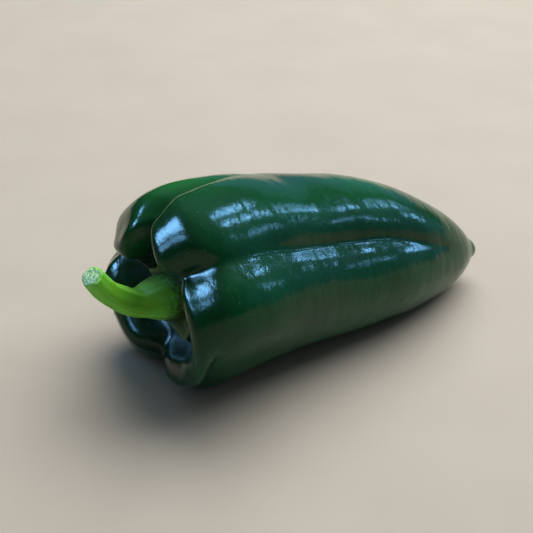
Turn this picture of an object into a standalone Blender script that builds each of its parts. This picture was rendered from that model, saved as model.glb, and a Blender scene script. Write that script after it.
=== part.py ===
"""A poblano pepper lying on its side: the lobed pod, and the stem with the calyx that it grows from."""
import math

import bmesh
import bpy
import numpy as np

# Pod outline over a lobe, from the middle of the hollow round the calyx to the tip.
# Each point is the distance behind the front of the shoulders and the distance from the axis.
LOBE_OUTLINE = (
    (0.0150, 0.0), (0.0148, 0.0077), (0.0120, 0.0126), (0.0060, 0.0160), (0.0012, 0.0192),
    (0.0, 0.0231), (0.0016, 0.0255), (0.0060, 0.0291), (0.0144, 0.0312), (0.0285, 0.0304),
    (0.0473, 0.0270), (0.0654, 0.0255), (0.0839, 0.0216), (0.0982, 0.0157), (0.1074, 0.0105),
    (0.1126, 0.0063), (0.1153, 0.0041), (0.1176, 0.0026), (0.1187, 0.0),
)
# The same points down a furrow between two lobes
FURROW_OUTLINE = (
    (0.0150, 0.0), (0.0148, 0.0077), (0.0136, 0.0126), (0.0114, 0.0165), (0.0094, 0.0199),
    (0.0090, 0.0226), (0.0102, 0.0233), (0.0135, 0.0255), (0.0205, 0.0272), (0.0316, 0.0269),
    (0.0486, 0.0240), (0.0665, 0.0230), (0.0844, 0.0198), (0.0982, 0.0147), (0.1074, 0.0100),
    (0.1126, 0.0061), (0.1153, 0.0041), (0.1176, 0.0026), (0.1187, 0.0),
)
# Which point is the foremost one, on the rim of the hollow
CREST = 5
LENGTH = LOBE_OUTLINE[-1][0]
KNOT_POWER = 0.75

# Furrows. The angles are in degrees up from the front, at the shoulder, halfway along and at the tip,
# and the widths in radians above and below. The depths are those at the shoulder and on the body,
# where 1 is the furrow outline, and the end is a share of the length.
FURROWS = (
    {
        "angles": (50.2, 49.3, 34.5), "widths": (0.24, 0.30), "depths": (0.85, 1.64),
        "end": 0.95, "round": 0.18,
    },
    {
        "angles": (107.4, 107.4, 107.4), "widths": (0.12, 0.12), "depths": (1.00, 0.00),
        "end": 0.50, "round": 0.50,
    },
    {
        "angles": (107.4, 107.4, 107.4), "widths": (0.30, 0.30), "depths": (0.00, 0.13),
        "end": 0.80, "round": 0.70,
    },
    {
        "angles": (184.6, 184.6, 184.6), "widths": (0.20, 0.20), "depths": (1.00, 0.60),
        "end": 0.90, "round": 0.45,
    },
    {
        "angles": (274.8, 274.8, 274.8), "widths": (0.22, 0.22), "depths": (1.00, 0.50),
        "end": 0.85, "round": 0.45,
    },
    {
        "angles": (320.0, 320.0, 320.0), "widths": (0.26, 0.26), "depths": (0.35, 0.00),
        "end": 0.40, "round": 0.70,
    },
)
FURROW_SETTLES = (0.06, 0.35)
FURROW_FADE = 0.30
LINE_MIDDLE = 0.50
LINE_END = 0.95

# Lobes by angle in degrees and half width in radians, with how far each one moves forward at its front and
# outward at the rim of the hollow, on the shoulder and on the body. The last one fills the front lobe out
# below the long furrow.
LOBES = (
    {"angle": 145.7, "width": 0.55, "forward": 0.0005, "rim": -0.0087, "shoulder": -0.0051, "body": -0.0007},
    {"angle": 57.5, "width": 0.53, "forward": 0.0040, "rim": -0.0048, "shoulder": -0.0004, "body": 0.0004},
    {"angle": 339.0, "width": 0.50, "forward": -0.0018, "rim": 0.0032, "shoulder": -0.0047, "body": -0.0018},
    {"angle": 296.8, "width": 0.40, "forward": -0.0037, "rim": 0.0015, "shoulder": 0.0007, "body": -0.0065},
    {"angle": 234.1, "width": 0.55, "forward": -0.0039, "rim": -0.0006, "shoulder": 0.0041, "body": -0.0058},
    {"angle": 20.1, "width": 0.42, "forward": 0.0, "rim": 0.0, "shoulder": 0.0011, "body": 0.0003},
)
# Where along the length, as shares of it, each of these effects starts, is full, starts to leave and is gone
SHOULDER_REACH = (0.0, 0.06, 0.15, 0.40)
BODY_REACH = (0.10, 0.40, 0.60, 0.95)
FRONT_FADE = 0.22
RIM_FADE = 0.06
# Where inside the hollow the lobes begin, as a share of its rows, and the radius below which they die out
LOBES_BEGIN = 0.20
LOBE_MIN_RADIUS = 0.008

# Gentle waves of the skin: height, waves along the length, waves round the axis and phase
WAVES = ((0.00012, 2.9, 2.0, 0.6), (0.00010, 4.6, 3.0, 2.2), (0.00006, 7.1, 5.0, 4.1))
# The middle of the hollow lies off the axis, and the axis bends sideways and down towards the tip
HOLLOW_SHIFT = (0.0009, -0.0041)
HOLLOW_FLOOR = 0.10
BEND = (-0.0155, -0.0046)

# Lie of the pod on the table, and how deep the flats under it are cut
PITCH = math.radians(7.0)
ROLL = math.radians(11.6)
TURN = math.radians(7.7)
REST_FLAT = 0.0004

POD_ROWS = 46
AROUND = 84

# Calyx: its edge and teeth are shares of the way from the middle of the hollow to its rim
GAP = 0.0003
CALYX_EDGE = 0.36
CALYX_TOOTH = 0.12
CALYX_TEETH = 6
CALYX_TURN = math.radians(2.0)
# The teeth are neither evenly spaced nor equally long
CALYX_SWAY = 0.18
CALYX_UNEVEN = 0.35
CALYX_LONGEST = math.radians(20.0)
CALYX_THICK = 0.0016
CALYX_RIM = 0.0007
CALYX_RIB = 0.00025
CALYX_RIBS = 10
CALYX_ROWS = 6
HOLLOW_SAMPLES = 60

# Stem: its middle line from the calyx to the cut end, measured from the middle of the hollow
STEM_ROUTE = (
    (-0.0020, 0.0, 0.0003), (-0.0060, 0.0, 0.0009), (-0.0100, 0.0, 0.0013), (-0.0142, 0.0, 0.0016),
    (-0.0184, 0.0, 0.0039), (-0.0230, 0.0, 0.0073), (-0.0263, 0.0, 0.0105), (-0.0295, 0.0, 0.0145),
)
STEM_RADII = (0.0072, 0.0063, 0.0052, 0.0039, 0.0036, 0.0032, 0.0031, 0.0029)
STEM_SEAT = 3
STEM_ROWS = 14
STEM_RIBS = 5
STEM_RIB = 0.035
CUT_ROUND = 0.0009
CUT_RINGS = (0.93, 0.62, 0.30)

POD_COLOUR = (0.010, 0.040, 0.014, 1.0)
STEM_COLOUR = (0.160, 0.400, 0.030, 1.0)


def smooth(low, high, value):
    """Rise from 0 at low to 1 at high."""
    share = np.clip((value - low) / (high - low), 0.0, 1.0)
    return share * share * (3.0 - 2.0 * share)


def wrap(angle):
    """Bring an angle between minus and plus half a turn."""
    return (angle + math.pi) % (2.0 * math.pi) - math.pi


def spline(knots, values, at):
    """Natural cubic spline through the values."""
    knots = np.asarray(knots, float)
    values = np.asarray(values, float)
    gaps = np.diff(knots)
    slopes = np.diff(values) / gaps
    matrix = np.eye(len(knots))
    right = np.zeros(len(knots))
    for k in range(1, len(knots) - 1):
        matrix[k, k - 1:k + 2] = gaps[k - 1], 2.0 * (gaps[k - 1] + gaps[k]), gaps[k]
        right[k] = 6.0 * (slopes[k] - slopes[k - 1])
    bends = np.linalg.solve(matrix, right)
    k = np.clip(np.searchsorted(knots, at, side="right") - 1, 0, len(knots) - 2)
    a = (knots[k + 1] - at) / gaps[k]
    b = 1.0 - a
    curve = ((a ** 3 - a) * bends[k] + (b ** 3 - b) * bends[k + 1]) * gaps[k] ** 2 / 6.0
    return a * values[k] + b * values[k + 1] + curve


def outline_knots():
    """Spread the outline's points along 0 to 1, closer where the points are closer."""
    steps = np.hypot(*np.diff(np.array(LOBE_OUTLINE), axis=0).T)
    knots = np.concatenate([[0.0], np.cumsum(steps ** KNOT_POWER)])
    return knots / knots[-1]


def reach(along, stations):
    """Rise and fall of an effect over its four stations along the length."""
    start, full, leave, gone = stations
    return smooth(start, full, along) * (1.0 - smooth(leave, gone, along))


def furrow_share(along, angles):
    """Share of the furrow outline at each row and angle, where several furrows can meet."""
    lobe_share = np.ones((len(along), len(angles)))
    for furrow in FURROWS:
        first, middle, last = furrow["angles"]
        line = first + (middle - first) * smooth(0.0, LINE_MIDDLE, along)
        line = line + (last - middle) * smooth(LINE_MIDDLE, LINE_END, along)
        away = wrap(angles[None, :] - np.radians(line)[:, None])
        above, below = furrow["widths"]
        far = np.abs(away) / np.where(away > 0.0, above, below)
        shape = np.exp(furrow["round"] - np.hypot(far, furrow["round"]))
        at_shoulder, on_body = furrow["depths"]
        depth = at_shoulder + (on_body - at_shoulder) * smooth(*FURROW_SETTLES, along)
        depth = depth * (1.0 - smooth(furrow["end"] - FURROW_FADE, furrow["end"], along))
        lobe_share = lobe_share * (1.0 - depth[:, None] * shape)
    return 1.0 - lobe_share


def pod_surface(rows, angles):
    """Points of the pod for rows from 0 in the hollow to 1 at the tip, before it is laid down."""
    knots = outline_knots()
    crest = knots[CREST]
    lobe_x, lobe_r = (spline(knots, column, rows) for column in np.array(LOBE_OUTLINE).T)
    furrow_x, furrow_r = (spline(knots, column, rows) for column in np.array(FURROW_OUTLINE).T)
    inside = rows < crest
    along = np.where(inside, 0.0, lobe_x / LENGTH)
    share = furrow_share(along, angles)
    x = lobe_x[:, None] * (1.0 - share) + furrow_x[:, None] * share
    r = lobe_r[:, None] * (1.0 - share) + furrow_r[:, None] * share
    inner = smooth(LOBES_BEGIN * crest, crest, rows)
    front = np.where(inside, inner, 1.0 - smooth(0.0, FRONT_FADE, along))
    rim = np.where(inside, inner, 1.0 - smooth(0.0, RIM_FADE, along))
    shoulder = np.where(inside, 0.0, reach(along, SHOULDER_REACH))
    body = np.where(inside, 0.0, reach(along, BODY_REACH))
    for lobe in LOBES:
        near = np.exp(-(wrap(angles - math.radians(lobe["angle"])) / lobe["width"]) ** 2)
        push = lobe["rim"] * rim + lobe["shoulder"] * shoulder + lobe["body"] * body
        x = x - lobe["forward"] * front[:, None] * near
        r = r + push[:, None] * near * np.minimum(1.0, r / LOBE_MIN_RADIUS)
    on_skin = np.minimum(1.0, shoulder + body)[:, None]
    for height, lengthways, round_axis, phase in WAVES:
        turn = 2.0 * math.pi * lengthways * along[:, None] + round_axis * angles[None, :] + phase
        r = r + height * on_skin * np.sin(turn)
    shift = np.where(inside, 1.0 - smooth(HOLLOW_FLOOR * crest, crest, rows), 0.0)[:, None]
    bend = np.maximum(0.0, x / LENGTH) ** 2
    y = -r * np.cos(angles) + HOLLOW_SHIFT[0] * shift + BEND[0] * bend
    z = r * np.sin(angles) + HOLLOW_SHIFT[1] * shift + BEND[1] * bend
    return np.stack([x, y, z], axis=-1)


def laid_down(points):
    """Tip the pod down towards its tip, roll it and turn it so that it lies along X."""
    x, y, z = np.moveaxis(points, -1, 0)
    y, z = y * math.cos(ROLL) - z * math.sin(ROLL), y * math.sin(ROLL) + z * math.cos(ROLL)
    x, z = x * math.cos(PITCH) + z * math.sin(PITCH), -x * math.sin(PITCH) + z * math.cos(PITCH)
    x, y = x * math.cos(TURN) - y * math.sin(TURN), x * math.sin(TURN) + y * math.cos(TURN)
    return np.stack([x, y, z], axis=-1)


def calyx_edge(angles):
    """Row of the pod's hollow that the calyx reaches at each angle, with its pointed teeth."""
    swayed = angles - CALYX_TURN + CALYX_SWAY * np.sin(2.0 * angles)
    wave = np.abs(np.sin(0.5 * CALYX_TEETH * swayed))
    uneven = 1.0 + CALYX_UNEVEN * np.sin(angles + CALYX_LONGEST)
    return CALYX_EDGE + CALYX_TOOTH * uneven * (1.0 - wave) ** 1.6


def calyx_rings(angles):
    """Rings under and over the calyx, each from the middle to the edge, following the pod's hollow."""
    crest = outline_knots()[CREST]
    shares = np.linspace(1.0 / CALYX_ROWS, 1.0, CALYX_ROWS)
    rows = shares[:, None] * calyx_edge(angles)[None, :] * crest
    fine = np.linspace(0.0, crest, HOLLOW_SAMPLES)
    hollow = pod_surface(fine, angles)
    below = np.empty(rows.shape + (3,))
    for k, axis in np.ndindex(len(angles), 3):
        below[:, k, axis] = np.interp(rows[:, k], fine, hollow[:, k, axis])
    out_step = np.gradient(below, axis=0)
    round_step = np.roll(below, -1, axis=1) - np.roll(below, 1, axis=1)
    normal = np.cross(out_step, round_step)
    normal = normal / np.linalg.norm(normal, axis=2, keepdims=True)
    normal = np.where(normal[..., :1] > 0.0, -normal, normal)
    thick = CALYX_RIM + (CALYX_THICK - CALYX_RIM) * (1.0 - shares ** 3)
    ribs = CALYX_RIB * np.cos(CALYX_RIBS * (angles - CALYX_TURN))
    height = GAP + thick[:, None] + (1.0 - shares ** 2)[:, None] * ribs[None, :]
    return below + GAP * normal, below + height[..., None] * normal


def stem_rings(angles, foot):
    """Rings up the stem from its foot and over the domed cut end, and the cut end's middle."""
    knots = np.linspace(0.0, 1.0, len(STEM_ROUTE))
    at = np.linspace(0.0, 1.0, STEM_ROWS)
    centres = np.stack([spline(knots, column, at) for column in np.array(STEM_ROUTE).T], axis=-1) + foot
    radii = spline(knots, STEM_RADII, at)
    tangents = np.gradient(centres, axis=0)
    tangents = tangents / np.linalg.norm(tangents, axis=1, keepdims=True)
    sides = np.cross(tangents, (0.0, 0.0, 1.0))
    sides = sides / np.linalg.norm(sides, axis=1, keepdims=True)
    ups = np.cross(sides, tangents)
    end = centres[-1] + CUT_ROUND * tangents[-1]
    dome = CUT_ROUND * np.sqrt(1.0 - np.array(CUT_RINGS) ** 3)
    centres = np.concatenate([centres, centres[-1] + dome[:, None] * tangents[-1]])
    radii = np.concatenate([radii, radii[-1] * np.array(CUT_RINGS)])
    sides = np.concatenate([sides, np.repeat(sides[-1:], len(CUT_RINGS), axis=0)])
    ups = np.concatenate([ups, np.repeat(ups[-1:], len(CUT_RINGS), axis=0)])
    ribbed = radii[:, None] * (1.0 + STEM_RIB * np.cos(STEM_RIBS * angles)[None, :])
    rings = centres[:, None, :] - (ribbed * np.cos(angles))[..., None] * sides[:, None, :]
    rings = rings + (ribbed * np.sin(angles))[..., None] * ups[:, None, :]
    return rings, end


def closed_mesh(name, rings, first, last, material):
    """One closed body from rings of points, with a point that closes each end."""
    rows, count, _ = rings.shape
    bm = bmesh.new()
    grid = [[bm.verts.new(point) for point in ring] for ring in rings]
    ends = (bm.verts.new(first), bm.verts.new(last))
    for k in range(count):
        after = (k + 1) % count
        bm.faces.new((ends[0], grid[0][after], grid[0][k]))
        bm.faces.new((ends[1], grid[-1][k], grid[-1][after]))
        for j in range(rows - 1):
            bm.faces.new((grid[j][k], grid[j][after], grid[j + 1][after], grid[j + 1][k]))
    bmesh.ops.recalc_face_normals(bm, faces=bm.faces)
    for face in bm.faces:
        face.smooth = True
    mesh = bpy.data.meshes.new(name)
    bm.to_mesh(mesh)
    bm.free()
    mesh.materials.append(material)
    body = bpy.data.objects.new(name, mesh)
    bpy.context.collection.objects.link(body)
    return body


def plain_material(name, colour, roughness):
    """A Principled material of one colour."""
    material = bpy.data.materials.new(name)
    material.use_nodes = True
    shader = material.node_tree.nodes["Principled BSDF"]
    shader.inputs["Base Color"].default_value = colour
    shader.inputs["Roughness"].default_value = roughness
    shader.inputs["Metallic"].default_value = 0.0
    return material


def pod_points(angles):
    """Every ring of the pod, and the points that close it in the hollow and at the tip."""
    rows = np.linspace(0.0, 1.0, POD_ROWS)
    points = laid_down(pod_surface(rows, angles))
    return points[1:-1], points[0].mean(axis=0), points[-1].mean(axis=0)


def stem_points(angles):
    """Every ring of the calyx and stem, and the points that close it below the calyx and at the cut end."""
    under, over = calyx_rings(angles)
    foot = pod_surface(np.array([0.0]), angles)[0].mean(axis=0)
    stem, end = stem_rings(angles, foot)
    rings = np.concatenate([under, over[STEM_SEAT:][::-1], stem])
    below = foot + np.array((-GAP, 0.0, 0.0))
    return laid_down(rings), laid_down(below), laid_down(end)


def main():
    for item in list(bpy.data.objects):
        bpy.data.objects.remove(item, do_unlink=True)
    angles = np.linspace(0.0, 2.0 * math.pi, AROUND, endpoint=False)
    pod_rings, hollow_middle, tip = pod_points(angles)
    stem, under_middle, cut_middle = stem_points(angles)
    everything = np.concatenate([pod_rings.reshape(-1, 3), stem.reshape(-1, 3)])
    low, high = everything.min(axis=0), everything.max(axis=0)
    origin = np.array(((low[0] + high[0]) / 2.0, (low[1] + high[1]) / 2.0, low[2] + REST_FLAT))
    pod_rings = pod_rings - origin
    pod_rings[..., 2] = np.maximum(pod_rings[..., 2], 0.0)
    pod_skin = plain_material("pod_skin", POD_COLOUR, 0.12)
    stem_skin = plain_material("stem_skin", STEM_COLOUR, 0.45)
    closed_mesh("pod", pod_rings, hollow_middle - origin, tip - origin, pod_skin)
    closed_mesh("stem_and_calyx", stem - origin, under_middle - origin, cut_middle - origin, stem_skin)


main()
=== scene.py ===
"""A poblano pepper on a pale floor: its glossy skin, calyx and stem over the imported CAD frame."""
import math

import bmesh
import bpy
import numpy as np
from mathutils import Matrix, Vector


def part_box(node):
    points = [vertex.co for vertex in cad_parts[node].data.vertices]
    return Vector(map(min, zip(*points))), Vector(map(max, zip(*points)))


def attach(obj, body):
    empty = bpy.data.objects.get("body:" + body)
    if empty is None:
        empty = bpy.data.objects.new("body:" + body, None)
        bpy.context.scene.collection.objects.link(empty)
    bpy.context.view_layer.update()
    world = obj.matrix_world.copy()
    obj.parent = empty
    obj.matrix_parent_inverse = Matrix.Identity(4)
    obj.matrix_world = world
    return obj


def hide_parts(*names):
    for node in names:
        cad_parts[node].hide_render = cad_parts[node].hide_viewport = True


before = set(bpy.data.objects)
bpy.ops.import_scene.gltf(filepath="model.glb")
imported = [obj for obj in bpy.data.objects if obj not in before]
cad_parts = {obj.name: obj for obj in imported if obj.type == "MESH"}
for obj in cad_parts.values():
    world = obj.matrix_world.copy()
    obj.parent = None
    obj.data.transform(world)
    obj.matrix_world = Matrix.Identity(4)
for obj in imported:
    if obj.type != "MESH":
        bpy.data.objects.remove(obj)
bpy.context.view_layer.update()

# Pod outline over a lobe, from the middle of the hollow round the calyx to the tip.
# Each point is the distance behind the front of the shoulders and the distance from the axis.
LOBE_OUTLINE = (
    (0.0150, 0.0), (0.0148, 0.0077), (0.0120, 0.0126), (0.0060, 0.0160), (0.0012, 0.0192),
    (0.0, 0.0231), (0.0016, 0.0255), (0.0060, 0.0291), (0.0144, 0.0312), (0.0285, 0.0304),
    (0.0473, 0.0270), (0.0654, 0.0255), (0.0839, 0.0216), (0.0982, 0.0157), (0.1074, 0.0105),
    (0.1126, 0.0063), (0.1153, 0.0041), (0.1176, 0.0026), (0.1187, 0.0),
)
# The same points down a furrow between two lobes
FURROW_OUTLINE = (
    (0.0150, 0.0), (0.0148, 0.0077), (0.0136, 0.0126), (0.0114, 0.0165), (0.0094, 0.0199),
    (0.0090, 0.0226), (0.0102, 0.0233), (0.0135, 0.0255), (0.0205, 0.0272), (0.0316, 0.0269),
    (0.0486, 0.0240), (0.0665, 0.0230), (0.0844, 0.0198), (0.0982, 0.0147), (0.1074, 0.0100),
    (0.1126, 0.0061), (0.1153, 0.0041), (0.1176, 0.0026), (0.1187, 0.0),
)
# Which point is the foremost one, on the rim of the hollow
CREST = 5
LENGTH = LOBE_OUTLINE[-1][0]
KNOT_POWER = 0.75

# Furrows. The angles are in degrees up from the front, at the shoulder, halfway along and at the tip,
# and the widths in radians above and below. The depths are those at the shoulder and on the body,
# where 1 is the furrow outline, and the end is a share of the length.
FURROWS = (
    {
        "angles": (50.2, 49.3, 34.5), "widths": (0.24, 0.30), "depths": (0.85, 1.64),
        "end": 0.95, "round": 0.18,
    },
    {
        "angles": (107.4, 107.4, 107.4), "widths": (0.12, 0.12), "depths": (1.00, 0.00),
        "end": 0.50, "round": 0.50,
    },
    {
        "angles": (107.4, 107.4, 107.4), "widths": (0.30, 0.30), "depths": (0.00, 0.13),
        "end": 0.80, "round": 0.70,
    },
    {
        "angles": (184.6, 184.6, 184.6), "widths": (0.20, 0.20), "depths": (1.00, 0.60),
        "end": 0.90, "round": 0.45,
    },
    {
        "angles": (274.8, 274.8, 274.8), "widths": (0.22, 0.22), "depths": (1.00, 0.50),
        "end": 0.85, "round": 0.45,
    },
    {
        "angles": (320.0, 320.0, 320.0), "widths": (0.26, 0.26), "depths": (0.35, 0.00),
        "end": 0.40, "round": 0.70,
    },
)
FURROW_SETTLES = (0.06, 0.35)
FURROW_FADE = 0.30
LINE_MIDDLE = 0.50
LINE_END = 0.95

# Lobes by angle in degrees and half width in radians, with how far each one moves forward at its front and
# outward at the rim of the hollow, on the shoulder and on the body. The last one fills the front lobe out
# below the long furrow.
LOBES = (
    {"angle": 145.7, "width": 0.55, "forward": 0.0005, "rim": -0.0087, "shoulder": -0.0051, "body": -0.0007},
    {"angle": 57.5, "width": 0.53, "forward": 0.0040, "rim": -0.0048, "shoulder": -0.0004, "body": 0.0004},
    {"angle": 339.0, "width": 0.50, "forward": -0.0018, "rim": 0.0032, "shoulder": -0.0047, "body": -0.0018},
    {"angle": 296.8, "width": 0.40, "forward": -0.0037, "rim": 0.0015, "shoulder": 0.0007, "body": -0.0065},
    {"angle": 234.1, "width": 0.55, "forward": -0.0039, "rim": -0.0006, "shoulder": 0.0041, "body": -0.0058},
    {"angle": 20.1, "width": 0.42, "forward": 0.0, "rim": 0.0, "shoulder": 0.0011, "body": 0.0003},
)
# Where along the length, as shares of it, each of these effects starts, is full, starts to leave and is gone
SHOULDER_REACH = (0.0, 0.06, 0.15, 0.40)
BODY_REACH = (0.10, 0.40, 0.60, 0.95)
FRONT_FADE = 0.22
RIM_FADE = 0.06
# Where inside the hollow the lobes begin, as a share of its rows, and the radius below which they die out
LOBES_BEGIN = 0.20
LOBE_MIN_RADIUS = 0.008

# Gentle waves of the skin: height, waves along the length, waves round the axis and phase
WAVES = ((0.00012, 2.9, 2.0, 0.6), (0.00010, 4.6, 3.0, 2.2), (0.00006, 7.1, 5.0, 4.1))
# The middle of the hollow lies off the axis, and the axis bends sideways and down towards the tip
HOLLOW_SHIFT = (0.0009, -0.0041)
HOLLOW_FLOOR = 0.10
BEND = (-0.0155, -0.0046)

# Lie of the pod on the floor
PITCH = math.radians(7.0)
ROLL = math.radians(11.6)
TURN = math.radians(7.7)
REST_FLAT = 0.0004

POD_ROWS = 200
AROUND = 336

# Calyx: its edge and teeth are shares of the way from the middle of the hollow to its rim
GAP = 0.0003
CALYX_EDGE = 0.36
CALYX_TOOTH = 0.12
CALYX_TEETH = 6
CALYX_TURN = math.radians(2.0)
# The teeth are neither evenly spaced nor equally long
CALYX_SWAY = 0.18
CALYX_UNEVEN = 0.35
CALYX_LONGEST = math.radians(20.0)
CALYX_POINTED = 1.6
CALYX_THICK = 0.0016
CALYX_RIM = 0.0007
CALYX_RIB = 0.00025
CALYX_RIBS = 10
CALYX_ROWS = 30
HOLLOW_SAMPLES = 240

# Stem: its middle line from the calyx to the cut end, measured from the middle of the hollow
STEM_ROUTE = (
    (-0.0020, 0.0, 0.0003), (-0.0060, 0.0, 0.0009), (-0.0100, 0.0, 0.0013), (-0.0142, 0.0, 0.0016),
    (-0.0184, 0.0, 0.0039), (-0.0230, 0.0, 0.0073), (-0.0263, 0.0, 0.0105), (-0.0295, 0.0, 0.0145),
)
STEM_RADII = (0.0072, 0.0063, 0.0052, 0.0039, 0.0036, 0.0032, 0.0031, 0.0029)
STEM_SEAT = 19
STEM_ROWS = 90
STEM_RIBS = 5
STEM_RIB = 0.035
CUT_ROUND = 0.0009
CUT_RINGS = (0.98, 0.95, 0.91, 0.86, 0.80, 0.73, 0.65, 0.56, 0.47, 0.38, 0.29, 0.20, 0.10)

# Pits and ridges of the cut end: turns round it and waves across it, and their depth
CUT_PITS = ((3, 9.0), (5, -17.0), (8, 26.0), (13, -31.0))
CUT_PIT_DEPTH = 0.00009

# Fine ridges of the stem: the radius of the circle round which their noise is read, and how far the circle
# drifts from the foot to the cut end
RIDGE_RADIUS = 0.1
RIDGE_DRIFT = 0.012

# Camera: degrees to the left of straight on and above the floor, and its distance from the point of the
# floor that it looks at
CAMERA_TURN = 31.58
CAMERA_LIFT = 31.3
CAMERA_DISTANCE = 0.3594
CAMERA_AT = (0.01323, 0.03783, 0.0)
CAMERA_LENS = 73.9
CAMERA_CLIP = 0.01
SENSOR = 36.0


def smooth(low, high, value):
    """Rise from 0 at low to 1 at high."""
    share = np.clip((value - low) / (high - low), 0.0, 1.0)
    return share * share * (3.0 - 2.0 * share)


def wrap(angle):
    """Bring an angle between minus and plus half a turn."""
    return (angle + math.pi) % (2.0 * math.pi) - math.pi


def spline(knots, values, at):
    """Natural cubic spline through the values."""
    knots = np.asarray(knots, float)
    values = np.asarray(values, float)
    gaps = np.diff(knots)
    slopes = np.diff(values) / gaps
    matrix = np.eye(len(knots))
    right = np.zeros(len(knots))
    for k in range(1, len(knots) - 1):
        matrix[k, k - 1:k + 2] = gaps[k - 1], 2.0 * (gaps[k - 1] + gaps[k]), gaps[k]
        right[k] = 6.0 * (slopes[k] - slopes[k - 1])
    bends = np.linalg.solve(matrix, right)
    k = np.clip(np.searchsorted(knots, at, side="right") - 1, 0, len(knots) - 2)
    a = (knots[k + 1] - at) / gaps[k]
    b = 1.0 - a
    curve = ((a ** 3 - a) * bends[k] + (b ** 3 - b) * bends[k + 1]) * gaps[k] ** 2 / 6.0
    return a * values[k] + b * values[k + 1] + curve


def outline_knots():
    """Spread the outline's points along 0 to 1, closer where the points are closer."""
    steps = np.hypot(*np.diff(np.array(LOBE_OUTLINE), axis=0).T)
    knots = np.concatenate([[0.0], np.cumsum(steps ** KNOT_POWER)])
    return knots / knots[-1]


def reach(along, stations):
    """Rise and fall of an effect over its four stations along the length."""
    start, full, leave, gone = stations
    return smooth(start, full, along) * (1.0 - smooth(leave, gone, along))


def furrow_share(along, angles):
    """Share of the furrow outline at each row and angle, where several furrows can meet."""
    lobe_share = np.ones((len(along), len(angles)))
    for furrow in FURROWS:
        first, middle, last = furrow["angles"]
        line = first + (middle - first) * smooth(0.0, LINE_MIDDLE, along)
        line = line + (last - middle) * smooth(LINE_MIDDLE, LINE_END, along)
        away = wrap(angles[None, :] - np.radians(line)[:, None])
        above, below = furrow["widths"]
        far = np.abs(away) / np.where(away > 0.0, above, below)
        shape = np.exp(furrow["round"] - np.hypot(far, furrow["round"]))
        at_shoulder, on_body = furrow["depths"]
        depth = at_shoulder + (on_body - at_shoulder) * smooth(*FURROW_SETTLES, along)
        depth = depth * (1.0 - smooth(furrow["end"] - FURROW_FADE, furrow["end"], along))
        lobe_share = lobe_share * (1.0 - depth[:, None] * shape)
    return 1.0 - lobe_share


def pod_surface(rows, angles):
    """Points of the pod for rows from 0 in the hollow to 1 at the tip, before it is laid down."""
    knots = outline_knots()
    crest = knots[CREST]
    lobe_x, lobe_r = (spline(knots, column, rows) for column in np.array(LOBE_OUTLINE).T)
    furrow_x, furrow_r = (spline(knots, column, rows) for column in np.array(FURROW_OUTLINE).T)
    inside = rows < crest
    along = np.where(inside, 0.0, lobe_x / LENGTH)
    share = furrow_share(along, angles)
    x = lobe_x[:, None] * (1.0 - share) + furrow_x[:, None] * share
    r = lobe_r[:, None] * (1.0 - share) + furrow_r[:, None] * share
    inner = smooth(LOBES_BEGIN * crest, crest, rows)
    front = np.where(inside, inner, 1.0 - smooth(0.0, FRONT_FADE, along))
    rim = np.where(inside, inner, 1.0 - smooth(0.0, RIM_FADE, along))
    shoulder = np.where(inside, 0.0, reach(along, SHOULDER_REACH))
    body = np.where(inside, 0.0, reach(along, BODY_REACH))
    for lobe in LOBES:
        near = np.exp(-(wrap(angles - math.radians(lobe["angle"])) / lobe["width"]) ** 2)
        push = lobe["rim"] * rim + lobe["shoulder"] * shoulder + lobe["body"] * body
        x = x - lobe["forward"] * front[:, None] * near
        r = r + push[:, None] * near * np.minimum(1.0, r / LOBE_MIN_RADIUS)
    on_skin = np.minimum(1.0, shoulder + body)[:, None]
    for height, lengthways, round_axis, phase in WAVES:
        turn = 2.0 * math.pi * lengthways * along[:, None] + round_axis * angles[None, :] + phase
        r = r + height * on_skin * np.sin(turn)
    shift = np.where(inside, 1.0 - smooth(HOLLOW_FLOOR * crest, crest, rows), 0.0)[:, None]
    bend = np.maximum(0.0, x / LENGTH) ** 2
    y = -r * np.cos(angles) + HOLLOW_SHIFT[0] * shift + BEND[0] * bend
    z = r * np.sin(angles) + HOLLOW_SHIFT[1] * shift + BEND[1] * bend
    return np.stack([x, y, z], axis=-1)


def laid_down(points):
    """Tip the pod down towards its tip, roll it and turn it so that it lies along X."""
    x, y, z = np.moveaxis(points, -1, 0)
    y, z = y * math.cos(ROLL) - z * math.sin(ROLL), y * math.sin(ROLL) + z * math.cos(ROLL)
    x, z = x * math.cos(PITCH) + z * math.sin(PITCH), -x * math.sin(PITCH) + z * math.cos(PITCH)
    x, y = x * math.cos(TURN) - y * math.sin(TURN), x * math.sin(TURN) + y * math.cos(TURN)
    return np.stack([x, y, z], axis=-1)


def calyx_edge(angles):
    """Row of the pod's hollow that the calyx reaches at each angle, with its pointed teeth."""
    swayed = angles - CALYX_TURN + CALYX_SWAY * np.sin(2.0 * angles)
    wave = np.abs(np.sin(0.5 * CALYX_TEETH * swayed))
    uneven = 1.0 + CALYX_UNEVEN * np.sin(angles + CALYX_LONGEST)
    return CALYX_EDGE + CALYX_TOOTH * uneven * (1.0 - wave) ** CALYX_POINTED


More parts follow.
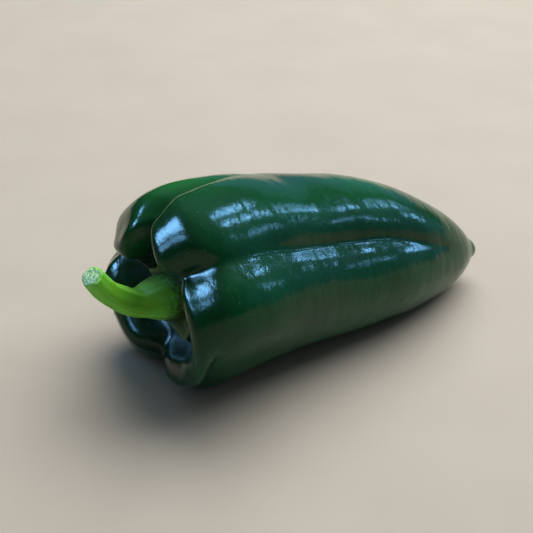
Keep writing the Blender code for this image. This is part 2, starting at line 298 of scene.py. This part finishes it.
def calyx_rings(angles):
    """Rings under and over the calyx, each from the middle to the edge, following the pod's hollow."""
    crest = outline_knots()[CREST]
    shares = np.linspace(1.0 / CALYX_ROWS, 1.0, CALYX_ROWS)
    rows = shares[:, None] * calyx_edge(angles)[None, :] * crest
    fine = np.linspace(0.0, crest, HOLLOW_SAMPLES)
    hollow = pod_surface(fine, angles)
    below = np.empty(rows.shape + (3,))
    for k, axis in np.ndindex(len(angles), 3):
        below[:, k, axis] = np.interp(rows[:, k], fine, hollow[:, k, axis])
    out_step = np.gradient(below, axis=0)
    round_step = np.roll(below, -1, axis=1) - np.roll(below, 1, axis=1)
    normal = np.cross(out_step, round_step)
    normal = normal / np.linalg.norm(normal, axis=2, keepdims=True)
    normal = np.where(normal[..., :1] > 0.0, -normal, normal)
    thick = CALYX_RIM + (CALYX_THICK - CALYX_RIM) * (1.0 - shares ** 3)
    ribs = CALYX_RIB * np.cos(CALYX_RIBS * (angles - CALYX_TURN))
    height = GAP + thick[:, None] + (1.0 - shares ** 2)[:, None] * ribs[None, :]
    return below + GAP * normal, below + height[..., None] * normal


def stem_rings(angles, foot):
    """Rings up the stem from its foot and over the domed cut end, and the cut end's middle."""
    knots = np.linspace(0.0, 1.0, len(STEM_ROUTE))
    at = np.linspace(0.0, 1.0, STEM_ROWS)
    centres = np.stack([spline(knots, column, at) for column in np.array(STEM_ROUTE).T], axis=-1) + foot
    radii = spline(knots, STEM_RADII, at)
    tangents = np.gradient(centres, axis=0)
    tangents = tangents / np.linalg.norm(tangents, axis=1, keepdims=True)
    sides = np.cross(tangents, (0.0, 0.0, 1.0))
    sides = sides / np.linalg.norm(sides, axis=1, keepdims=True)
    ups = np.cross(sides, tangents)
    end = centres[-1] + CUT_ROUND * tangents[-1]
    dome = CUT_ROUND * np.sqrt(1.0 - np.array(CUT_RINGS) ** 3)
    centres = np.concatenate([centres, centres[-1] + dome[:, None] * tangents[-1]])
    radii = np.concatenate([radii, radii[-1] * np.array(CUT_RINGS)])
    sides = np.concatenate([sides, np.repeat(sides[-1:], len(CUT_RINGS), axis=0)])
    ups = np.concatenate([ups, np.repeat(ups[-1:], len(CUT_RINGS), axis=0)])
    ribbed = radii[:, None] * (1.0 + STEM_RIB * np.cos(STEM_RIBS * angles)[None, :])
    rings = centres[:, None, :] - (ribbed * np.cos(angles))[..., None] * sides[:, None, :]
    rings = rings + (ribbed * np.sin(angles))[..., None] * ups[:, None, :]
    return rings, end


def in_box(points, node):
    """Move and stretch points by a hair so that they fill the box of their CAD node."""
    low, high = (np.array(corner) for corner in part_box(node))
    every = points.reshape(-1, 3)
    first, last = every.min(axis=0), every.max(axis=0)
    return low + (points - first) * (high - low) / (last - first)


def closed_mesh(name, rings, first, last, marks):
    """One closed body from rings of points and a point at each end, with named values on the ring points."""
    rows, count, _ = rings.shape
    points = np.concatenate([rings.reshape(-1, 3), [first], [last]])
    start, end = rows * count, rows * count + 1
    ring = np.arange(count)
    after = (ring + 1) % count
    faces = [(start, b, a) for a, b in zip(ring, after)]
    top = (rows - 1) * count
    faces += [(end, top + a, top + b) for a, b in zip(ring, after)]
    for j in range(rows - 1):
        low, high = j * count, (j + 1) * count
        faces += [(low + a, low + b, high + b, high + a) for a, b in zip(ring, after)]
    mesh = bpy.data.meshes.new(name)
    mesh.from_pydata(points.tolist(), [], [tuple(int(i) for i in face) for face in faces])
    bm = bmesh.new()
    bm.from_mesh(mesh)
    bmesh.ops.recalc_face_normals(bm, faces=bm.faces)
    bm.to_mesh(mesh)
    bm.free()
    mesh.shade_smooth()
    for mark, values in marks.items():
        layer = mesh.attributes.new(mark, "FLOAT", "POINT")
        flat = np.concatenate([values.reshape(-1), [values[0].mean(), values[-1].mean()]])
        layer.data.foreach_set("value", flat.astype(np.float32))
    piece = bpy.data.objects.new(name, mesh)
    bpy.context.collection.objects.link(piece)
    return piece


def pod_piece(angles):
    """The pod at full smoothness, in place of its CAD node."""
    rows = np.linspace(0.0, 1.0, POD_ROWS)
    raw = pod_surface(rows, angles)
    laid = laid_down(raw)
    laid[..., 2] = np.maximum(laid[..., 2], laid[..., 2].min() + REST_FLAT)
    placed = in_box(laid, "pod")
    crest = outline_knots()[CREST]
    along = np.where(rows < crest, 0.0, raw[..., 0].mean(axis=1) / LENGTH)
    hollow = np.clip(1.0 - rows / crest, 0.0, 1.0)
    marks = {
        "furrow": furrow_share(along, angles)[1:-1],
        "hollow": np.repeat(hollow[1:-1, None], len(angles), axis=1),
    }
    return closed_mesh("pod_skin", placed[1:-1], placed[0].mean(axis=0), placed[-1].mean(axis=0), marks)


def stem_piece(angles):
    """The calyx and stem at full smoothness, in place of their CAD node."""
    under, over = calyx_rings(angles)
    foot = pod_surface(np.array([0.0]), angles)[0].mean(axis=0)
    stem, end = stem_rings(angles, foot)
    out = end - stem[-len(CUT_RINGS) - 1].mean(axis=0)
    ring_shares = np.array(CUT_RINGS)[:, None]
    pits = sum(np.sin(turns * angles[None, :] + waves * ring_shares + turns) for turns, waves in CUT_PITS)
    pits = CUT_PIT_DEPTH * pits * np.sin(math.pi * ring_shares ** 2)
    stem[-len(CUT_RINGS):] += pits[..., None] * out / np.linalg.norm(out)
    top = over[STEM_SEAT:][::-1]
    rings = np.concatenate([under, top, stem])
    rise = np.concatenate([
        np.zeros(len(under)), np.zeros(len(top)), np.linspace(0.0, 1.0, STEM_ROWS), np.ones(len(CUT_RINGS)),
    ])
    cut = np.concatenate([np.zeros(len(rings) - len(CUT_RINGS)), 1.0 - np.array(CUT_RINGS)])
    edge = np.concatenate([
        np.linspace(0.0, 1.0, len(under)),
        np.linspace(1.0, STEM_SEAT / CALYX_ROWS, len(top)),
        np.zeros(len(stem)),
    ])
    marks = {
        name: np.repeat(values[:, None], len(angles), axis=1)
        for name, values in (("rise", rise), ("cut", cut), ("edge", edge))
    }
    marks["ridge_across"] = np.repeat(RIDGE_RADIUS * np.cos(angles)[None, :], len(rings), axis=0)
    marks["ridge_upward"] = np.repeat(RIDGE_RADIUS * np.sin(angles)[None, :], len(rings), axis=0)
    below = foot + np.array((-GAP, 0.0, 0.0))
    every = np.concatenate([laid_down(rings).reshape(-1, 3), [laid_down(below)], [laid_down(end)]])
    placed = in_box(every, "stem_and_calyx")
    return closed_mesh("stem_skin", placed[:-2].reshape(rings.shape), placed[-2], placed[-1], marks)


# Sockets of a colour mix by number, since several of them have the same name
MIX_SHARE = 0
MIX_FIRST = 6
MIX_SECOND = 7
MIX_RESULT = 2


class Nodes:
    """Short calls for building a material's nodes."""

    def __init__(self, name):
        self.material = bpy.data.materials.new(name)
        self.material.use_nodes = True
        self.tree = self.material.node_tree
        self.shader = self.tree.nodes["Principled BSDF"]
        self.place = self.add("ShaderNodeTexCoord").outputs["Object"]

    def add(self, kind, **settings):
        node = self.tree.nodes.new(kind)
        for name, value in settings.items():
            setattr(node, name, value)
        return node

    def put(self, socket, value):
        """Link an output to the socket, or set a plain value on it."""
        if isinstance(value, bpy.types.NodeSocket):
            self.tree.links.new(value, socket)
        else:
            socket.default_value = value

    def mark(self, name):
        """A value kept on the mesh's points."""
        return self.add("ShaderNodeAttribute", attribute_name=name).outputs["Fac"]

    def stretched(self, scale):
        """Object coordinates scaled along each axis."""
        node = self.add("ShaderNodeMapping")
        self.put(node.inputs["Vector"], self.place)
        self.put(node.inputs["Scale"], scale)
        return node.outputs["Vector"]

    def ridge_place(self):
        """Coordinates that stay nearly still along the stem, so that noise there makes lengthwise ridges."""
        node = self.add("ShaderNodeCombineXYZ")
        self.put(node.inputs["X"], self.mark("ridge_across"))
        self.put(node.inputs["Y"], self.mark("ridge_upward"))
        self.put(node.inputs["Z"], self.math("MULTIPLY", self.mark("rise"), RIDGE_DRIFT))
        return node.outputs["Vector"]

    def noise(self, scale, detail, rough=0.5, stretch=None, where=None):
        """Noise over the object coordinates, which can be stretched, or over other ones."""
        if stretch is not None:
            where = self.stretched(stretch)
        node = self.add("ShaderNodeTexNoise")
        self.put(node.inputs["Vector"], self.place if where is None else where)
        self.put(node.inputs["Scale"], scale)
        self.put(node.inputs["Detail"], detail)
        self.put(node.inputs["Roughness"], rough)
        return node.outputs["Fac"]

    def range(self, value, low, high, first=0.0, last=1.0):
        """Map a value smoothly from low and high to first and last."""
        node = self.add("ShaderNodeMapRange", interpolation_type="SMOOTHSTEP")
        ends = {"Value": value, "From Min": low, "From Max": high, "To Min": first, "To Max": last}
        for name, number in ends.items():
            self.put(node.inputs[name], number)
        return node.outputs["Result"]

    def math(self, operation, a, b):
        node = self.add("ShaderNodeMath", operation=operation)
        self.put(node.inputs[0], a)
        self.put(node.inputs[1], b)
        return node.outputs["Value"]

    def mix(self, share, first, second):
        """Mix two colours."""
        node = self.add("ShaderNodeMix", data_type="RGBA")
        self.put(node.inputs[MIX_SHARE], share)
        self.put(node.inputs[MIX_FIRST], first)
        self.put(node.inputs[MIX_SECOND], second)
        return node.outputs[MIX_RESULT]

    def near(self, centre, radius):
        """1 at a place on the object, fading to 0 at a radius from it."""
        node = self.add("ShaderNodeVectorMath", operation="DISTANCE")
        self.put(node.inputs[0], self.place)
        self.put(node.inputs[1], centre)
        return self.range(node.outputs["Value"], 0.0, radius, 1.0, 0.0)

    def bump(self, height, distance, strength, normal=None):
        node = self.add("ShaderNodeBump")
        self.put(node.inputs["Height"], height)
        self.put(node.inputs["Distance"], distance)
        self.put(node.inputs["Strength"], strength)
        if normal is not None:
            self.put(node.inputs["Normal"], normal)
        return node.outputs["Normal"]

    def surface(self, **values):
        """Set the shader's own inputs, by their names with underscores."""
        for name, value in values.items():
            self.put(self.shader.inputs[name.replace("_", " ").title().replace("Ior", "IOR")], value)
        return self.material


# Colours of the skin: dark and usual green, painted light for brighter patches on the top, painted shade for
# the furrows and the hollow, and specks
POD_DARK = (0.0016, 0.046, 0.0150, 1.0)
POD_GREEN = (0.0026, 0.074, 0.0250, 1.0)
POD_PAINTED_LIGHT = (0.010, 0.170, 0.034, 1.0)
# Painted shade: the near black green that the furrows and the hollow are darkened towards
POD_PAINTED_SHADE = (0.0010, 0.016, 0.0050, 1.0)
POD_SPECK = (0.12, 0.26, 0.12, 1.0)
# Painted light: brighter green patches on the top of the pod, each by centre, radius and how strong
PAINTED_LIGHT_PATCHES = (
    ((-0.030, 0.010, 0.056), 0.022, 0.7),
    ((0.025, 0.012, 0.050), 0.026, 0.6),
)
# Noises of the skin: the cloudy green, the pale specks and three sizes of relief
POD_CLOUD = {"scale": 42.0, "detail": 3.0, "stretch": (0.6, 1.0, 1.0)}
POD_SPECKS = {"scale": 1900.0, "detail": 1.0}
POD_DENTS = {"scale": 80.0, "detail": 2.0, "stretch": (1.6, 0.7, 0.7)}
POD_TEXTURE = {"scale": 420.0, "detail": 3.0, "rough": 0.6, "stretch": (1.4, 1.0, 1.0)}
POD_GRAIN = {"scale": 900.0, "detail": 2.0, "rough": 0.6, "stretch": (1.7, 1.0, 1.0)}
# Depth in metres and strength of each relief
POD_DENTS_RELIEF = (0.0009, 0.60)
POD_TEXTURE_RELIEF = (0.00011, 0.55)
POD_GRAIN_RELIEF = (0.00007, 0.60)
# Where each effect begins and is full, and, where given, its share at either end
POD_CLOUD_RANGE = (0.35, 0.70)
# Painted shade: how far the furrows and the hollow are darkened
POD_FURROW_PAINTED_SHADE = (0.25, 0.9, 0.0, 0.4)
POD_HOLLOW_PAINTED_SHADE = (0.1, 0.7, 0.0, 0.9)
POD_SPECKS_RANGE = (0.70, 0.76, 0.0, 0.35)
POD_ROUGH = (0.3, 0.7, 0.13, 0.19)
POD_HOLLOW_ROUGH = (0.02, 0.45, 0.0, 0.10)
POD_IOR = 1.45
POD_SPECULAR = 0.26


def pod_material():
    """Waxy dark green skin with painted light in brighter patches on top, painted shade in the furrows and
    the hollow, soft dents, fine texture and tiny pale specks.
    """
    n = Nodes("pod_skin")
    colour = n.mix(n.range(n.noise(**POD_CLOUD), *POD_CLOUD_RANGE), POD_DARK, POD_GREEN)
    # Painted light: brighter green patches on the top of the pod
    for centre, radius, share in PAINTED_LIGHT_PATCHES:
        colour = n.mix(n.math("MULTIPLY", n.near(centre, radius), share), colour, POD_PAINTED_LIGHT)
    # Painted shade in the furrows and in the hollow round the calyx
    colour = n.mix(n.range(n.mark("furrow"), *POD_FURROW_PAINTED_SHADE), colour, POD_PAINTED_SHADE)
    colour = n.mix(n.range(n.mark("hollow"), *POD_HOLLOW_PAINTED_SHADE), colour, POD_PAINTED_SHADE)
    colour = n.mix(n.range(n.noise(**POD_SPECKS), *POD_SPECKS_RANGE), colour, POD_SPECK)
    texture = n.noise(**POD_TEXTURE)
    normal = n.bump(n.noise(**POD_DENTS), *POD_DENTS_RELIEF)
    normal = n.bump(texture, *POD_TEXTURE_RELIEF, normal)
    normal = n.bump(n.noise(**POD_GRAIN), *POD_GRAIN_RELIEF, normal)
    rough = n.range(texture, *POD_ROUGH)
    rough = n.math("ADD", rough, n.range(n.mark("hollow"), *POD_HOLLOW_ROUGH))
    return n.surface(
        base_color=colour, roughness=rough, normal=normal, ior=POD_IOR, specular_ior_level=POD_SPECULAR,
    )


# Colours of the stem, the calyx and the cut end
STEM_GREEN = (0.150, 0.560, 0.034, 1.0)
STEM_LIGHT = (0.240, 0.740, 0.100, 1.0)
STEM_WARM = (0.210, 0.520, 0.016, 1.0)
STEM_OLIVE = (0.060, 0.110, 0.014, 1.0)
CALYX_DARK = (0.026, 0.052, 0.006, 1.0)
CALYX_OLIVE = (0.130, 0.230, 0.034, 1.0)
PITH = (0.60, 0.92, 0.46, 1.0)
PITH_DARK = (0.17, 0.46, 0.11, 1.0)
# Noises of the stem: its lengthwise streaks, the cloudy green, the mottling and the pith of the cut end
STEM_STREAKS = {"scale": 40.0, "detail": 4.0, "rough": 0.6}
STEM_CLOUD = {"scale": 260.0, "detail": 3.0}
STEM_MOTTLE = {"scale": 900.0, "detail": 4.0, "rough": 0.65}
STEM_PITH = {"scale": 1500.0, "detail": 3.0, "rough": 0.6}
# Depth in metres and strength of each relief
STEM_STREAKS_RELIEF = (0.0004, 0.6)
STEM_MOTTLE_RELIEF = (0.0003, 0.5)
# Where each effect begins and is full, and, where given, its share at either end
STEM_STREAKS_RANGE = (0.40, 0.62)
STEM_CLOUD_RANGE = (0.45, 0.75, 0.0, 0.8)
CALYX_MOTTLE_RANGE = (0.45, 0.70)
CALYX_EDGE_RANGE = (0.75, 1.0, 0.0, 0.8)
STEM_PITH_RANGE = (0.42, 0.58)
STEM_ROUGH = (0.3, 0.7, 0.36, 0.60)
# Where up the stem the olive and then the green take over, and how far the mottling frays that line
OLIVE_RISES = (0.00, 0.12)
GREEN_RISES = (0.06, 0.24)
FRAYED = (0.3, 0.7, -0.05, 0.05)
CUT_BEGINS = (0.12, 0.26)
STEM_SPECULAR = 0.22


def stem_material():
    """Bright green stem with fine ridges, ribbed olive calyx and a pale, pitted cut end."""
    n = Nodes("stem_skin")
    streaks = n.noise(**STEM_STREAKS, where=n.ridge_place())
    mottled = n.noise(**STEM_MOTTLE)
    green = n.mix(n.range(streaks, *STEM_STREAKS_RANGE), STEM_GREEN, STEM_LIGHT)
    green = n.mix(n.range(n.noise(**STEM_CLOUD), *STEM_CLOUD_RANGE), green, STEM_WARM)
    calyx = n.mix(n.range(mottled, *CALYX_MOTTLE_RANGE), CALYX_DARK, STEM_OLIVE)
    calyx = n.mix(n.range(n.mark("edge"), *CALYX_EDGE_RANGE), calyx, CALYX_OLIVE)
    rise = n.math("ADD", n.mark("rise"), n.range(mottled, *FRAYED))
    base = n.mix(n.range(rise, *OLIVE_RISES), calyx, STEM_OLIVE)
    colour = n.mix(n.range(rise, *GREEN_RISES), base, green)
    pith = n.mix(n.range(n.noise(**STEM_PITH), *STEM_PITH_RANGE), PITH_DARK, PITH)
    colour = n.mix(n.range(n.mark("cut"), *CUT_BEGINS), colour, pith)
    normal = n.bump(streaks, *STEM_STREAKS_RELIEF)
    normal = n.bump(mottled, *STEM_MOTTLE_RELIEF, normal)
    rough = n.range(mottled, *STEM_ROUGH)
    return n.surface(base_color=colour, roughness=rough, normal=normal, specular_ior_level=STEM_SPECULAR)


FLOOR_SIZE = 6.0
FLOOR_DARK = (0.47, 0.445, 0.41, 1.0)
FLOOR_LIGHT = (0.53, 0.505, 0.47, 1.0)
FLOOR_CLOUD = {"scale": 30.0, "detail": 2.0}


def floor_material():
    """Plain pale floor, quite matt."""
    n = Nodes("floor")
    colour = n.mix(n.noise(**FLOOR_CLOUD), FLOOR_DARK, FLOOR_LIGHT)
    return n.surface(base_color=colour, roughness=1.0, specular_ior_level=0.0)


def add_floor():
    """Wide floor that the pepper lies on."""
    mesh = bpy.data.meshes.new("floor")
    half = FLOOR_SIZE / 2.0
    corners = [(-half, -half, 0.0), (half, -half, 0.0), (half, half, 0.0), (-half, half, 0.0)]
    mesh.from_pydata(corners, [], [(0, 1, 2, 3)])
    floor = bpy.data.objects.new("floor", mesh)
    bpy.context.collection.objects.link(floor)
    mesh.materials.append(floor_material())


def add_light(name, azimuth, elevation, across, upward, radiance, colour, shines):
    """An oval light by its direction and size in degrees, azimuth from +X towards +Y."""
    data = bpy.data.lights.new(name, "AREA")
    data.shape = "ELLIPSE"
    data.size = 2.0 * LIGHT_DISTANCE * math.tan(math.radians(across) / 2.0)
    data.size_y = 2.0 * LIGHT_DISTANCE * math.tan(math.radians(upward) / 2.0)
    # The power of a flat light is pi times its area and its radiance
    area = math.pi * data.size * data.size_y / 4.0
    data.energy = math.pi * area * radiance
    data.color = colour
    light = bpy.data.objects.new(name, data)
    a, e = math.radians(azimuth), math.radians(elevation)
    way = Vector((math.cos(e) * math.cos(a), math.cos(e) * math.sin(a), math.sin(e)))
    light.location = Vector(LIGHT_MIDDLE) + LIGHT_DISTANCE * way
    light.rotation_euler = way.to_track_quat("Z", "Y").to_euler()
    light.visible_diffuse = shines == "diffuse"
    light.visible_glossy = shines == "glossy"
    bpy.context.collection.objects.link(light)


# Panes that only the gloss mirrors: azimuth, elevation, width and height, all in degrees, and the share of
# the full radiance. Small ones make the highlights, and wide, dim ones the haze on the skin. Panes that have
# the same middle make one pane with a soft edge.
PANES = (
    (-4.5, 14.5, 8.0, 4.5, 0.65),
    (10.0, 26.0, 6.0, 3.5, 0.35),
    (3.0, 25.0, 5.0, 3.5, 1.0),
    (-17.0, 42.0, 7.0, 6.0, 1.3),
    (1.0, 51.0, 10.0, 6.5, 1.3),
    (-33.0, 24.0, 7.0, 8.0, 0.35),
    (164.0, 39.0, 36.0, 17.0, 0.60),
    (164.0, 39.0, 29.0, 12.0, 1.60),
    (164.0, 39.0, 19.0, 7.5, 3.00),
    (194.0, 26.0, 17.0, 11.0, 0.35),
    (194.0, 26.0, 11.0, 6.0, 0.90),
    (-24.0, 17.0, 76.0, 44.0, 0.010),
    (-24.0, 17.0, 60.0, 32.0, 0.010),
    (-24.0, 17.0, 44.0, 20.0, 0.014),
    (42.0, 14.0, 46.0, 30.0, 0.009),
    (42.0, 14.0, 28.0, 16.0, 0.009),
    (20.0, 65.0, 100.0, 50.0, 0.005),
)
PANE_COLOUR = (0.22, 0.55, 1.0)
PANE_RADIANCE = 54.0
# Softbox that lights the colours and makes no highlight: azimuth, elevation, width and height
SOFTBOX = (20.0, 62.0, 75.0, 50.0)
SOFT_COLOUR = (1.0, 0.95, 0.88)
SOFT_RADIANCE = 4.8
LIGHT_DISTANCE = 1.0
LIGHT_MIDDLE = (0.0, 0.0, 0.03)
# Sky from low to high, and the heights of a look's direction between which it turns from one to the other
SKY_LOW = (0.018, 0.019, 0.019, 1.0)
SKY_HIGH = (0.23, 0.25, 0.26, 1.0)
SKY_TURNS = (0.1, 1.0)


def add_lights():
    """The light bank's panes and one softbox."""
    for number, (*place_and_size, strength) in enumerate(PANES):
        add_light(f"pane_{number}", *place_and_size, strength * PANE_RADIANCE, PANE_COLOUR, "glossy")
    add_light("softbox", *SOFTBOX, SOFT_RADIANCE, SOFT_COLOUR, "diffuse")


def add_world():
    """Soft grey sky that brightens upwards."""
    world = bpy.data.worlds.new("studio")
    bpy.context.scene.world = world
    world.use_nodes = True
    tree = world.node_tree
    place = tree.nodes.new("ShaderNodeTexCoord")
    parts = tree.nodes.new("ShaderNodeSeparateXYZ")
    ramp = tree.nodes.new("ShaderNodeMapRange")
    blend = tree.nodes.new("ShaderNodeMix")
    blend.data_type = "RGBA"
    ramp.inputs["From Min"].default_value, ramp.inputs["From Max"].default_value = SKY_TURNS
    blend.inputs[MIX_FIRST].default_value = SKY_LOW
    blend.inputs[MIX_SECOND].default_value = SKY_HIGH
    tree.links.new(place.outputs["Generated"], parts.inputs["Vector"])
    tree.links.new(parts.outputs["Z"], ramp.inputs["Value"])
    tree.links.new(ramp.outputs["Result"], blend.inputs[MIX_SHARE])
    tree.links.new(blend.outputs[MIX_RESULT], tree.nodes["Background"].inputs["Color"])


def add_camera():
    """Camera at the photograph's angle."""
    data = bpy.data.cameras.new("camera")
    data.lens = CAMERA_LENS
    data.sensor_width = SENSOR
    data.clip_start = CAMERA_CLIP
    camera = bpy.data.objects.new("camera", data)
    turn, lift = math.radians(CAMERA_TURN), math.radians(CAMERA_LIFT)
    back = Vector((-math.sin(turn) * math.cos(lift), -math.cos(turn) * math.cos(lift), math.sin(lift)))
    camera.location = Vector(CAMERA_AT) + CAMERA_DISTANCE * back
    camera.rotation_euler = back.to_track_quat("Z", "Y").to_euler()
    bpy.context.collection.objects.link(camera)
    bpy.context.scene.camera = camera
    bpy.context.scene.view_settings.view_transform = "Standard"


def main():
    angles = np.linspace(0.0, 2.0 * math.pi, AROUND, endpoint=False)
    for piece, node, material, slot in (
        (pod_piece(angles), "pod", pod_material(), "pod_skin"),
        (stem_piece(angles), "stem_and_calyx", stem_material(), "stem_skin"),
    ):
        piece.data.materials.append(material)
        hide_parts(node)
        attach(piece, "root")
    add_floor()
    add_lights()
    add_world()
    add_camera()


main()
